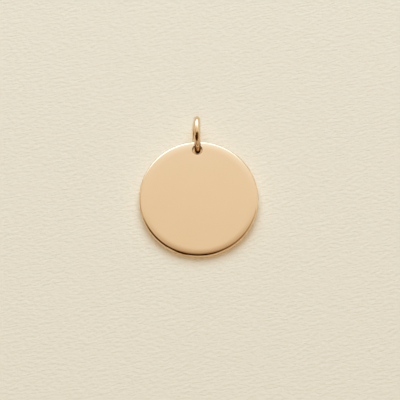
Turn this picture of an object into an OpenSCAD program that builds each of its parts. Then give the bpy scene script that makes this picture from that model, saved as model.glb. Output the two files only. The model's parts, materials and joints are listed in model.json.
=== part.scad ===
// Disc pendant with its jump ring, lying on a flat surface.
// The ring stands on its edge in the disc's hole and lifts that side of the disc a little.
// The surface is z = 0, and +Y points from the disc towards the ring.

/* [Disc] */
// Outer diameter of the disc
disc_d = 16; // [12:0.5:24]
// Thickness of the disc
disc_t = 1.1; // [1:0.05:1.4]
// Radius of the rounding between the faces and the outer wall
edge_r = 0.35; // [0.25:0.05:0.4]
// Width of the gentle roll-off between the flat face and the rounding
roll_w = 0.85; // [0.5:0.05:1]
// Radius of the arc of the roll-off
roll_r = 7.5; // [6:0.5:12]

/* [Hole] */
// Diameter of the drilled hole
hole_d = 1.3; // [1.25:0.05:1.4]
// Distance from the disc's rim to the centre of the hole
hole_inset = 1.2; // [1.15:0.05:1.25]
// Width of the softened rim of the hole
hole_chamfer = 0.05; // [0.03:0.01:0.08]

/* [Jump ring] */
// Outer diameter of the ring
ring_d = 5.1; // [4.9:0.1:5.3]
// Diameter of the ring's wire
wire_d = 0.82; // [0.78:0.02:0.86]

/* [Resting pose] */
// Distance from the hole's outer wall to the ring's centre, along the disc
ring_reach = 1.5; // [1.45:0.01:1.55]
// Gap between the ring and the lower corner of the hole that it carries
seat_gap = 0.05; // [0.03:0.01:0.08]
// Lean of the ring to the right of upright, in degrees
ring_lean = 2.5; // [0:0.5:5]
// Turn of the ring's far side to the left, in degrees
ring_turn = 1.5; // [0:0.5:3]
// Shift of the ring to the right of the middle of the hole
ring_side = 0.02; // [0:0.01:0.05]

/* [Hidden] */
$fn = 128;
// Overshoot of every cutting shape past the metal that it cuts
clear = 1;
// Height by which the rounding stands into the roll-off, so that the two arcs cross
arc_cross = 0.001;

disc_r = disc_d / 2;
edge_x = disc_r - edge_r;
roll_x = edge_x - roll_w;
edge_z = disc_t - roll_r + sqrt(pow(roll_r - edge_r, 2) - pow(roll_w, 2)) + arc_cross;

hole_r = hole_d / 2;
hole_y = disc_r - hole_inset;

wire_r = wire_d / 2;
ring_r = ring_d / 2 - wire_r;
ring_inner_r = ring_r - wire_r;

// Centre of the ring above the disc's lower face, with the hole's lower corner on the seat gap
ring_y = hole_y + hole_r + ring_reach;
ring_z = sqrt(pow(ring_inner_r - seat_gap, 2) - pow(ring_reach, 2));

// Tilt of the disc, with its lower edge and the ring's lowest point on the surface
ring_height = ring_r * cos(ring_lean) + wire_r;
contact_y = ring_y + edge_x;
contact_z = ring_z - (disc_t - edge_z);
tilt = asin((ring_height - edge_r) / norm([contact_y, contact_z])) - atan2(contact_z, contact_y);

// Height of the tilted disc's origin, and the middle of the part's length
lift = edge_r + edge_x * sin(tilt) - (disc_t - edge_z) * cos(tilt);
front_y = -edge_x * cos(tilt) - edge_z * sin(tilt) - edge_r;
back_y = ring_y * cos(tilt) - ring_z * sin(tilt) + ring_r + wire_r;
middle_y = (front_y + back_y) / 2;

// Sets a piece that is drawn on the disc's lower face onto the surface
module rest() {
    translate([0, -middle_y, lift]) rotate([tilt, 0, 0]) children();
}

// Metal outside the roll-off and the rounding, at the upper corner of the disc's section
module corner_waste() {
    difference() {
        translate([roll_x, edge_z]) square([edge_r + roll_w + clear, clear]);
        translate([roll_x, disc_t - roll_r]) circle(roll_r);
    }
    difference() {
        translate([edge_x, edge_z]) square(edge_r + clear);
        translate([edge_x, edge_z]) circle(edge_r);
    }
}

// Half of the disc's section, from its axis to its rim
module disc_section() {
    difference() {
        square([disc_r, disc_t]);
        corner_waste();
        translate([0, disc_t]) mirror([0, 1]) corner_waste();
    }
}

// Cone that softens the rim of the hole on the upper face
module hole_rim() {
    translate([0, hole_y, disc_t - hole_chamfer])
        cylinder(h = 2 * hole_chamfer, r1 = hole_r, r2 = hole_r + 2 * hole_chamfer);
}

module disc() {
    color("#E6C89C") rest() difference() {
        rotate_extrude() disc_section();
        translate([0, hole_y, -clear]) cylinder(h = disc_t + 2 * clear, r = hole_r);
        hole_rim();
        translate([0, 0, disc_t]) mirror([0, 0, 1]) hole_rim();
    }
}

module jump_ring() {
    color("#D9B27C") rest()
        translate([ring_side, ring_y, ring_z]) rotate([0, 90 + ring_lean, ring_turn])
            rotate_extrude() translate([ring_r, 0]) circle(wire_r);
}

disc();
jump_ring();
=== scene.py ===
import json
import math

import bmesh
import bpy
from mathutils import Matrix, Vector


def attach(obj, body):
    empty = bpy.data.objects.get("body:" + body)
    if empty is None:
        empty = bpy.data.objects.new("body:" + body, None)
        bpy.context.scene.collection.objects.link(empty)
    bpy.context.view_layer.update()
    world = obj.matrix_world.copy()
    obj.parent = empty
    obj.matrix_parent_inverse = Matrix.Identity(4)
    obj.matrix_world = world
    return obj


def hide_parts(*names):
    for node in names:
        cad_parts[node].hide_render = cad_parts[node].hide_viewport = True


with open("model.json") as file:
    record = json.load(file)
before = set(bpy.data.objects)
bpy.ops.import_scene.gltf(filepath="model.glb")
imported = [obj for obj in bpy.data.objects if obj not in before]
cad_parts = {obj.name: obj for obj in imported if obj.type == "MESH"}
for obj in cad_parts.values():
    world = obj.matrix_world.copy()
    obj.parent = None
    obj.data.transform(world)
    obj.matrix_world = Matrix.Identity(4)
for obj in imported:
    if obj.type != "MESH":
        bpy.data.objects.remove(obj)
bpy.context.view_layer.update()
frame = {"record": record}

MM = 0.001
MOUNTS = {mount["name"]: mount for mount in frame["record"]["mounts"]}

# Sizes of the disc, in millimetres, as its solid has them: its radius and thickness, the rounding at
# its rim, the gentle roll-off inside that, and its hole with the rounding of the hole's lip
DISC_R = 8.0
DISC_T = 1.1
EDGE_R = 0.35
ROLL_W = 0.85
ROLL_R = 7.5
HOLE_R = 0.65
HOLE_Y = 6.8
LIP_R = 0.05

# Sizes of the ring, in millimetres: the radius of its wire's centre line, and of the wire
RING_R = 2.14
WIRE_R = 0.41
# A ring that is bent and closed by hand springs a little out of flat: two opposite quarters stand
# to the right by this much and the two between them to the left, counted from this angle.
# It also hangs in its hole a trace to the left, and skewed. All but the angle are in millimetres.
SPRUNG = 0.07
SKEWED = 0.04
HANGS_LEFT = 0.03
SPRUNG_FROM = math.radians(21)

# Where the disc lies, in metres: the direction of its front, its tilt, its middle and its hole's middle
BACK_FACE = MOUNTS["back_face"]
FRONT_WAY = -Vector(BACK_FACE["axis"]).normalized()
TILT = math.acos(FRONT_WAY.z)
DISC_AT = Vector(BACK_FACE["pos_m"]) + FRONT_WAY * DISC_T * MM / 2
HOLE_AT = DISC_AT + Vector((0, math.cos(TILT), math.sin(TILT))) * HOLE_Y * MM

# How finely the two pieces are divided, and how much the face's loops crowd towards the rim.
# Points that lie nearer to each other than the last value, in millimetres, are merged.
AROUND = 256
FACE_STEPS = 56
FACE_CROWDING = 1.6
EDGE_STEPS = 14
LIP_STEPS = 8
RING_AROUND = 160
WIRE_AROUND = 40
MERGE = 1e-5

# Tones of the sheet, from its deepest to its palest, between which its painted reflection runs, and of
# the wire, from its palest to its deepest
SHEET_TONES_AND_SHEEN = ("#EFCDA1", "#F4D4AA")
WIRE_TONES = ("#EFCC9D", "#EBC694")

# Painted shade in the hole: the metal that lies in the hole's shade is drawn in a dark colour. Its
# colour, and in millimetres its reach from the hole's axis on the disc and on the wire, the softness
# of that edge, its lower and upper end from the middle of the hole, and the softness of those. On the
# wire's two flanks both ends lie further up, by the creep, so that the crown between the flanks is left
# bright above the disc. The crown's edges are as soft as half its width.
HOLE_SHADE_COLOUR = "#43260F"
HOLE_SHADE_ON_DISC = HOLE_R + LIP_R
HOLE_SHADE_ON_WIRE = 1.2
HOLE_SHADE_FADE = 0.06
HOLE_SHADE_ENDS = (-1.0, DISC_T / 2)
HOLE_SHADE_ENDS_FADE = 0.3
HOLE_SHADE_CREEP = 1.5
CROWN_HALF = 0.27

# The gold light that the hole's bright wall throws down on the paper under it, which a renderer
# leaves out: where it falls and how far it reaches, its soft edge, its colour and its strength
GLINT_AT = (0, 5.8, 0)
GLINT_R = 1.2
GLINT_FADE = 0.3
GLINT_COLOUR = "#E0A458"
GLINT_LEVEL = 0.3

# Sizes of the surface marks, in millimetres: grains along X, Y and Z, and heights. A buffing streak
# is a few micrometres wide on real gold, and a ding from the steel shot is not much wider, so both
# are drawn wider than they are, to show. Each roughness goes from its smoothest to its dullest.
BUFF_STREAK = (4.0, 0.12, 0.12)
BUFF_DEPTH = 0.00015
BUFF_ROUGHNESS = (0.07, 0.13)
DING_SIZE = (0.12, 0.12, 0.12)
DING_DEPTH = 0.0003
DING_ROUGHNESS = (0.06, 0.12)
# The face's tone goes from its deepest to its palest between these two places along the pendant, a
# painted reflection that is paler towards the ring, and wanders round that by this share, in patches of
# this size
PAINTED_SHEEN_FROM_TO = (-9.7, 5.3)
HAZE_PATCH = (5.0, 5.0, 5.0)
HAZE_WANDER = 0.1
# Noise between these values is spread over a mark's roughness, and over a patch's tone
MARK_CONTRAST = (0.3, 0.7)
PATCH_CONTRAST = (0.35, 0.65)
# The lower end of a band of distances that has none, because no distance is below 0
NO_END = -1.0
# The paper: its colours in the open and in the gold light, the grains, turn in degrees and height of
# the tooth that its felt leaves, and half the width of the sheet
PAPER_COLOURS = ("#E9E3D2", "#D9BE98")
PAPER_TOOTH = (0.8, 0.36, 0.36)
TOOTH_TURN = 9
TOOTH_DEPTH = 0.15
SHEET_HALF = 600

# The camera's turn round the object, its height above the horizon, its lens and its sensor's width in
# millimetres, and the nearest and farthest that it shows, in metres
TURN = math.radians(-1.63)
HEIGHT = math.radians(68.62)
LENS = 400.0
SENSOR = 36.0
NEAREST_SHOWN = 0.01
FARTHEST_SHOWN = 10
# The photograph's frame: its width at the disc in millimetres, its width in pixels, and the pixel that
# the disc's middle lies at, from the left and from the top
FRAME_W = 53.55
FRAME_PX = 400
DISC_PX = Vector((198.66, 199.8))


def srgb(hex_colour):
    """Linear colour of an sRGB hex value."""
    parts = [int(hex_colour[i : i + 2], 16) / 255 for i in (1, 3, 5)]
    return [c / 12.92 if c <= 0.04045 else ((c + 0.055) / 1.055) ** 2.4 for c in parts] + [1.0]


def add(tree, kind, settings=(), links=()):
    """Adds a node, sets its properties and socket values, and links the sockets that links names."""
    node = tree.nodes.new(kind)
    for name, value in dict(settings).items():
        if isinstance(name, int) or name in node.inputs:
            node.inputs[name].default_value = value
        else:
            setattr(node, name, value)
    for name, source in dict(links).items():
        tree.links.new(source, node.inputs[name])
    return node


def new_material(name):
    """A node material with only its Principled shader and its output."""
    material = bpy.data.materials.new(name)
    material.use_nodes = True
    return material, material.node_tree, material.node_tree.nodes["Principled BSDF"]


def finish_mesh(bm, name, matrix):
    """Closes a modelled form, turns its faces outwards, puts it in place and makes it an object."""
    bmesh.ops.remove_doubles(bm, verts=bm.verts, dist=MERGE)
    bmesh.ops.recalc_face_normals(bm, faces=bm.faces)
    bmesh.ops.scale(bm, vec=(MM, MM, MM), verts=bm.verts)
    bmesh.ops.transform(bm, matrix=matrix, verts=bm.verts)
    for face in bm.faces:
        face.smooth = True
    mesh = bpy.data.meshes.new(name)
    bm.to_mesh(mesh)
    bm.free()
    piece = bpy.data.objects.new(name, mesh)
    bpy.context.collection.objects.link(piece)
    return piece


def axes_at(place, z_axis, x_hint):
    """Matrix that puts a form at a place, with its z along z_axis and its x near x_hint."""
    z = Vector(z_axis).normalized()
    y = z.cross(Vector(x_hint)).normalized()
    x = y.cross(z)
    return Matrix.Translation(Vector(place)) @ Matrix((x, y, z)).transposed().to_4x4()


def face_height(radius):
    """Height of the disc's front face above its back, at a distance from its axis."""
    past = max(0.0, radius - (DISC_R - EDGE_R - ROLL_W))
    return DISC_T - ROLL_R + math.sqrt(ROLL_R**2 - past**2)


def next_loop(bm, edges, centre_y, radius):
    """Extrudes a closed loop of edges into a circle of another place and size."""
    made = bmesh.ops.extrude_edge_only(bm, edges=edges)["geom"]
    verts = [g for g in made if isinstance(g, bmesh.types.BMVert)]
    middle = sum((v.co for v in verts), Vector()) / len(verts)
    size = radius / (verts[0].co.xy - middle.xy).length
    bmesh.ops.translate(bm, vec=(-middle.x, -middle.y, 0), verts=verts)
    bmesh.ops.scale(bm, vec=(size, size, 1), verts=verts)
    bmesh.ops.translate(bm, vec=(0, centre_y, 0), verts=verts)
    return verts, [g for g in made if isinstance(g, bmesh.types.BMEdge)]


def make_disc():
    """The disc: its front half, loop by loop from its wall to the hole, and that half mirrored."""
    edge_x = DISC_R - EDGE_R
    slope = math.asin(ROLL_W / (ROLL_R - EDGE_R))
    edge_z = face_height(edge_x + EDGE_R * math.sin(slope)) - EDGE_R * math.cos(slope)
    bm = bmesh.new()
    loop = bmesh.ops.create_circle(bm, segments=AROUND, radius=DISC_R)["verts"]
    bmesh.ops.translate(bm, vec=(0, 0, DISC_T / 2), verts=loop)
    edges = bm.edges[:]
    for step in range(EDGE_STEPS + 1):
        angle = (math.pi / 2 - slope) * step / EDGE_STEPS
        verts, edges = next_loop(bm, edges, 0, edge_x + EDGE_R * math.cos(angle))
        for v in verts:
            v.co.z = edge_z + EDGE_R * math.sin(angle)
    face_r = edge_x + EDGE_R * math.sin(slope)
    for step in range(1, FACE_STEPS + 1):
        share = (step / FACE_STEPS) ** FACE_CROWDING
        radius = face_r + (HOLE_R + LIP_R - face_r) * share
        verts, edges = next_loop(bm, edges, HOLE_Y * share, radius)
        for v in verts:
            v.co.z = face_height(v.co.xy.length)
    brink = [v.co.z for v in verts]
    for step in range(1, LIP_STEPS + 1):
        angle = math.pi / 2 * step / LIP_STEPS
        verts, edges = next_loop(bm, edges, HOLE_Y, HOLE_R + LIP_R * (1 - math.sin(angle)))
        for v, height in zip(verts, brink):
            v.co.z = height - LIP_R * (1 - math.cos(angle))
    verts, edges = next_loop(bm, edges, HOLE_Y, HOLE_R)
    for v in verts:
        v.co.z = DISC_T / 2
    bmesh.ops.mirror(
        bm, geom=bm.verts[:] + bm.edges[:] + bm.faces[:], axis="Z", merge_dist=MERGE,
        matrix=Matrix.Translation((0, 0, -DISC_T / 2)),
    )
    place = axes_at(BACK_FACE["pos_m"], FRONT_WAY, (1, 0, 0))
    piece = finish_mesh(bm, "disc_body", place)
    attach(piece, "root")
    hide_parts("disc")
    return piece


def make_ring():
    """The jump ring: a round section of wire, spun once round and sprung a little out of flat."""
    bm = bmesh.new()
    section = bmesh.ops.create_circle(bm, segments=WIRE_AROUND, radius=WIRE_R)["verts"]
    bmesh.ops.rotate(bm, matrix=Matrix.Rotation(math.pi / 2, 3, "X"), verts=section)
    bmesh.ops.translate(bm, vec=(RING_R, 0, 0), verts=section)
    bmesh.ops.spin(
        bm, geom=bm.verts[:] + bm.edges[:], axis=(0, 0, 1), cent=(0, 0, 0),
        angle=2 * math.pi, steps=RING_AROUND, use_merge=True,
    )
    for v in bm.verts:
        around = math.atan2(v.co.y, v.co.x) - SPRUNG_FROM
        v.co.z += SPRUNG * math.cos(2 * around) + SKEWED * math.cos(around) - HANGS_LEFT
    loop = MOUNTS["chain_loop"]
    piece = finish_mesh(bm, "ring_wire", axes_at(loop["pos_m"], loop["axis"], (0, 1, 0)))
    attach(piece, "root")
    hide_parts("jump_ring")
    return piece


def object_mm(tree):
    """A piece's own coordinates in millimetres."""
    place = add(tree, "ShaderNodeTexCoord").outputs["Object"]
    settings = {"operation": "SCALE", "Scale": 1 / MM}
    return add(tree, "ShaderNodeVectorMath", settings, {0: place}).outputs[0]


def stretched_noise(tree, size, detail, rough, turn=0.0):
    """Noise whose grains have a size in millimetres, along X, Y and Z, and a turn about Z."""
    settings = {"vector_type": "TEXTURE", "Scale": size, "Rotation": (0, 0, math.radians(turn))}
    place = add(tree, "ShaderNodeMapping", settings, {"Vector": object_mm(tree)})
    settings = {"Scale": 1.0, "Detail": detail, "Roughness": rough}
    return add(tree, "ShaderNodeTexNoise", settings, {"Vector": place.outputs[0]}).outputs["Fac"]


def spread(tree, value, low, high, to_low, to_high):
    """Moves a value from one range to another."""
    settings = {"From Min": low, "From Max": high, "To Min": to_low, "To Max": to_high}
    return add(tree, "ShaderNodeMapRange", settings, {"Value": value}).outputs[0]


def times(tree, first, second):
    """Product of two values."""
    return add(tree, "ShaderNodeMath", {"operation": "MULTIPLY"}, {0: first, 1: second}).outputs[0]


def mixed(tree, share, first, second):
    """Colour from the first, which may be a colour or another node's, to the second by a share."""
    settings = {"data_type": "RGBA", 7: srgb(second)}
    links = {0: share}
    if isinstance(first, str):
        settings[6] = srgb(first)
    else:
        links[6] = first
    return add(tree, "ShaderNodeMix", settings, links).outputs[2]


def relief(tree, heights, depth):
    """Normal of a surface whose marks are so deep, in millimetres."""
    settings = {"Strength": 1.0, "Distance": depth * MM}
    return add(tree, "ShaderNodeBump", settings, {"Height": heights}).outputs[0]


def band(tree, value, low, high, soft):
    """1 where a value lies between two others, 0 outside, with soft edges."""
    ends = []
    for outer, inner in ((low - soft / 2, low + soft / 2), (high + soft / 2, high - soft / 2)):
        settings = {"interpolation_type": "SMOOTHSTEP", "From Min": outer, "From Max": inner}
        ends.append(add(tree, "ShaderNodeMapRange", settings, {"Value": value}).outputs[0])
    return times(tree, *ends)


def hole_shade_mask(tree, reach, creep):
    """1 where the painted shade of the disc's hole covers a piece, and 0 where its metal is left
    bright.
    """
    settings = {"vector_type": "TEXTURE", "Location": HOLE_AT / MM, "Rotation": (TILT, 0, 0)}
    place = add(tree, "ShaderNodeMapping", settings, {"Vector": object_mm(tree)}).outputs[0]
    part = add(tree, "ShaderNodeSeparateXYZ", {}, {"Vector": place}).outputs
    flat = add(tree, "ShaderNodeVectorMath", {"operation": "MULTIPLY", 1: (1, 1, 0)}, {0: place})
    length = add(tree, "ShaderNodeVectorMath", {"operation": "LENGTH"}, {0: flat.outputs[0]})
    within = band(tree, length.outputs["Value"], NO_END, reach - HOLE_SHADE_FADE / 2, HOLE_SHADE_FADE)
    crown = band(tree, part["X"], -CROWN_HALF, CROWN_HALF, CROWN_HALF)
    raised = spread(tree, crown, 0.0, 1.0, creep, 0.0)
    height = add(tree, "ShaderNodeMath", {"operation": "SUBTRACT"}, {0: part["Z"], 1: raised})
    return times(tree, within, band(tree, height.outputs[0], *HOLE_SHADE_ENDS, HOLE_SHADE_ENDS_FADE))


def buffed_gold():
    """Polished 14 carat yellow gold sheet, buffed on a soft wheel.

    The wheel leaves a mirror, faintly dulled in hair-fine streaks that all run one way, and
    a thin film of polish, in faint patches. The tone is painted a trace deeper away from the ring and
    paler towards it, a painted reflection. In the hole the metal is drawn dark, as painted shade.
    """
    material, tree, shader = new_material("buffed_gold")
    along = add(tree, "ShaderNodeSeparateXYZ", {}, {"Vector": object_mm(tree)}).outputs["Y"]
    # Painted reflection: the tone runs paler towards the ring, with random patches added
    painted_sheen_and_patches = spread(tree, along, *PAINTED_SHEEN_FROM_TO, 0.0, 1.0)
    patches = stretched_noise(tree, HAZE_PATCH, 3, 0.5)
    patches = spread(tree, patches, *PATCH_CONTRAST, -HAZE_WANDER, HAZE_WANDER)
    painted_sheen_and_patches = add(tree, "ShaderNodeMath", {"operation": "ADD"}, {0: painted_sheen_and_patches, 1: patches}).outputs[0]
    tone = mixed(tree, painted_sheen_and_patches, *SHEET_TONES_AND_SHEEN)
    # Painted shade: the metal in and round the hole is drawn dark
    tone = mixed(tree, hole_shade_mask(tree, HOLE_SHADE_ON_DISC, 0.0), tone, HOLE_SHADE_COLOUR)
    tree.links.new(tone, shader.inputs["Base Color"])
    streaks = stretched_noise(tree, BUFF_STREAK, 6, 0.6)
    dull = spread(tree, streaks, *MARK_CONTRAST, *BUFF_ROUGHNESS)
    tree.links.new(dull, shader.inputs["Roughness"])
    tree.links.new(relief(tree, streaks, BUFF_DEPTH), shader.inputs["Normal"])
    shader.inputs["Metallic"].default_value = 1.0
    return material


def tumbled_gold_wire():
    """Drawn 14 carat gold wire, coiled, soldered and tumbled with steel shot.

    The shot gives a bright skin of tiny shallow dings, a little deeper in colour than the sheet.
    The hole's painted shade runs up the wire's flanks, and leaves its crown bright.
    """
    material, tree, shader = new_material("tumbled_gold_wire")
    dings = stretched_noise(tree, DING_SIZE, 4, 0.55)
    tone = mixed(tree, dings, *WIRE_TONES)
    # Painted shade: the wire is drawn dark where it runs through the hole, higher on its flanks
    tone = mixed(tree, hole_shade_mask(tree, HOLE_SHADE_ON_WIRE, HOLE_SHADE_CREEP), tone, HOLE_SHADE_COLOUR)
    tree.links.new(tone, shader.inputs["Base Color"])
    dull = spread(tree, dings, *MARK_CONTRAST, *DING_ROUGHNESS)
    tree.links.new(dull, shader.inputs["Roughness"])
    tree.links.new(relief(tree, dings, DING_DEPTH), shader.inputs["Normal"])
    shader.inputs["Metallic"].default_value = 1.0
    return material


def cream_paper():
    """Mould-made cream paper, matt, whose felt leaves a low tooth that runs across the sheet."""
    material, tree, shader = new_material("cream_paper")
    tooth = stretched_noise(tree, PAPER_TOOTH, 2, 0.5, TOOTH_TURN)
    tree.links.new(relief(tree, tooth, TOOTH_DEPTH), shader.inputs["Normal"])
    settings = {"operation": "DISTANCE", 1: GLINT_AT}
    away = add(tree, "ShaderNodeVectorMath", settings, {0: object_mm(tree)}).outputs["Value"]
    glint = band(tree, away, NO_END, GLINT_R, GLINT_FADE)
    tree.links.new(mixed(tree, glint, *PAPER_COLOURS), shader.inputs["Base Color"])
    shader.inputs["Emission Color"].default_value = srgb(GLINT_COLOUR)
    tree.links.new(spread(tree, glint, 0.0, 1.0, 0.0, GLINT_LEVEL), shader.inputs["Emission Strength"])
    shader.inputs["Roughness"].default_value = 0.9
    shader.inputs["Specular IOR Level"].default_value = 0.1
    return material


def make_paper():
    """A wide plain sheet of paper under the pendant."""
    bm = bmesh.new()
    bmesh.ops.create_grid(bm, x_segments=2, y_segments=2, size=SHEET_HALF)
    floor = finish_mesh(bm, "floor", Matrix.Identity(4))
    return floor


# What the polished metal mirrors: a level of light in each direction. A direction has two angles in
# degrees, its pitch from straight up towards the ring's side, and its swing to the right.
# Each zone has its pitch from and to, its swing from and to, the softness of its edges in pitch and
# in swing, and its level, and lies over the zones before it. The overhead and the glows give the
# face its tone, and the soft box the white line along the upper rim and the ring's highlight.
# The low zones, the wings and the camera give the dark lines at the lower rim and the dark block on
# the ring.
BASE_LEVEL = 0.67
ZONES = [
    ("overhead", 3, 97, -34, 110, 8, 26, 0.885),
    ("glow_edge", 32, 96, -34, 24, 22, 22, 0.98),
    ("glow", 21.5, 96, -10, 25, 34, 24, 1.16),
    ("glow_core", 40, 96, -24, 27, 28, 24, 1.3),
    ("left_side", 0, 97, -110, -66, 10, 20, 0.5),
    ("left_glow", 36, 80, -72, -38, 12, 16, 0.95),
    ("softbox", 50, 90, -40, 16, 9, 34, 1.9),
    ("horizon_flag", 83, 95, 10, 48, 5, 12, 0.4),
    ("low_left", -84, -52, -29, -13, 8, 6, 0.16),
    ("low_rim", -120, -84, -110, 110, 9, 20, 0.2),
    ("left_wing", -66, -19, -100, -36, 8, 10, 0.2),
    ("right_wing", -46, -5, 10, 46, 6, 10, 0.28),
    ("camera", -57, -4, -44, 16, 6, 8, 0.015),
]
# At this level the light is neutral. A dimmer one is browner and a brighter one is cooler: its green
# and its blue go by these powers of its share of that level, up to the brightest share.
NEUTRAL_LEVEL = 0.9
BRIGHTEST_SHARE = 1.4
BROWNER = (0.46, 1.12)
COOLER = (1.0, 2.1)
# The plain backdrop that the camera sees past the sheet
BACKDROP = "#E6DFCD"

# Lights for the paper only, because the metal has its own: a soft box beyond the ring, and a small
# lamp beside the lens. Each has its pitch and swing in degrees, its distance, width across and
# height in metres, its power in watts and its colour.
PAPER_LIGHTS = [
    ("key_box", 35, 0, 0.55, 0.45, 0.64, 3.25, "#E2F0FF"),
    ("lens_lamp", -20, -0.6, 1.2, 0.07, 0.07, 6.85, "#FFE6C3"),
]


def make_studio():
    """The world: soft zones of light that the metal mirrors, and a plain backdrop to the camera."""
    world = bpy.data.worlds.new("studio")
    bpy.context.scene.world = world
    world.use_nodes = True
    tree = world.node_tree
    tree.nodes.clear()
    look = add(tree, "ShaderNodeTexCoord").outputs["Generated"]
    part = add(tree, "ShaderNodeSeparateXYZ", {}, {"Vector": look}).outputs
    pitch = add(tree, "ShaderNodeMath", {"operation": "ARCTAN2"}, {0: part["Y"], 1: part["Z"]})
    pitch = add(tree, "ShaderNodeMath", {"operation": "DEGREES"}, {0: pitch.outputs[0]}).outputs[0]
    swing = add(tree, "ShaderNodeMath", {"operation": "ARCSINE"}, {0: part["X"]})
    swing = add(tree, "ShaderNodeMath", {"operation": "DEGREES"}, {0: swing.outputs[0]}).outputs[0]
    level = None
    for name, pitch_low, pitch_high, swing_low, swing_high, pitch_soft, swing_soft, value in ZONES:
        along = band(tree, pitch, pitch_low, pitch_high, pitch_soft)
        across = band(tree, swing, swing_low, swing_high, swing_soft)
        inside = times(tree, along, across)
        settings = {"data_type": "FLOAT", "label": name, 2: BASE_LEVEL, 3: value}
        links = {0: inside} if level is None else {0: inside, 2: level}
        level = add(tree, "ShaderNodeMix", settings, links).outputs[0]
    settings = {"operation": "DIVIDE", 1: NEUTRAL_LEVEL}
    share = add(tree, "ShaderNodeMath", settings, {0: level}).outputs[0]
    dim = add(tree, "ShaderNodeMath", {"operation": "MINIMUM", 1: 1.0}, {0: share}).outputs[0]
    bright = spread(tree, share, 1.0, BRIGHTEST_SHARE, 1.0, BRIGHTEST_SHARE)
    parts = []
    for browner, cooler in zip(BROWNER, COOLER):
        low = add(tree, "ShaderNodeMath", {"operation": "POWER", 1: browner}, {0: dim})
        high = add(tree, "ShaderNodeMath", {"operation": "POWER", 1: cooler}, {0: bright})
        parts.append(times(tree, low.outputs[0], high.outputs[0]))
    tint = add(tree, "ShaderNodeCombineColor", {0: 1.0}, {1: parts[0], 2: parts[1]})
    lit = add(tree, "ShaderNodeBackground", {}, {"Color": tint.outputs[0], "Strength": level})
    seen = add(tree, "ShaderNodeBackground", {"Color": srgb(BACKDROP), "Strength": 1.0})
    to_camera = add(tree, "ShaderNodeLightPath").outputs["Is Camera Ray"]
    links = {0: to_camera, 1: lit.outputs[0], 2: seen.outputs[0]}
    both = add(tree, "ShaderNodeMixShader", {}, links)
    add(tree, "ShaderNodeOutputWorld", {}, {"Surface": both.outputs[0]})
    world.cycles_visibility.diffuse = False


def make_paper_light(name, pitch, swing, distance, width, height, power, colour):
    """A soft box that the metal doesn't mirror, aimed at the pendant."""
    data = bpy.data.lights.new(name, "AREA")
    data.shape = "RECTANGLE"
    data.size = width
    data.size_y = height
    data.energy = power
    data.color = srgb(colour)[:3]
    lamp = bpy.data.objects.new(name, data)
    bpy.context.collection.objects.link(lamp)
    towards = Vector((
        math.sin(math.radians(swing)),
        math.cos(math.radians(swing)) * math.sin(math.radians(pitch)),
        math.cos(math.radians(swing)) * math.cos(math.radians(pitch)),
    ))
    lamp.location = towards * distance
    lamp.rotation_euler = (-towards).to_track_quat("-Z", "Y").to_euler()
    lamp.visible_glossy = False
    lamp.visible_camera = False


def make_camera(target):
    """A long lens at the photograph's angle, with the disc where the photograph has it."""
    data = bpy.data.cameras.new("camera")
    data.lens = LENS
    data.sensor_width = SENSOR
    data.clip_start = NEAREST_SHOWN
    data.clip_end = FARTHEST_SHOWN
    camera = bpy.data.objects.new("camera", data)
    bpy.context.collection.objects.link(camera)
    back = Vector((
        math.sin(TURN) * math.cos(HEIGHT), -math.cos(TURN) * math.cos(HEIGHT), math.sin(HEIGHT),
    ))
    camera.rotation_mode = "QUATERNION"
    camera.rotation_quaternion = (-back).to_track_quat("-Z", "Y")
    right = camera.rotation_quaternion @ Vector((1, 0, 0))
    up = camera.rotation_quaternion @ Vector((0, 1, 0))
    pixel = FRAME_W * MM / FRAME_PX
    off = Vector((FRAME_PX / 2, FRAME_PX / 2)) - DISC_PX
    aim = target + right * pixel * off.x - up * pixel * off.y
    camera.location = aim + back * (FRAME_W * MM * LENS / SENSOR)
    bpy.context.scene.camera = camera


make_disc().data.materials.append(buffed_gold())
make_ring().data.materials.append(tumbled_gold_wire())
make_paper().data.materials.append(cream_paper())

make_studio()
for light in PAPER_LIGHTS:
    make_paper_light(*light)
make_camera(DISC_AT)
bpy.context.scene.view_settings.view_transform = "Standard"
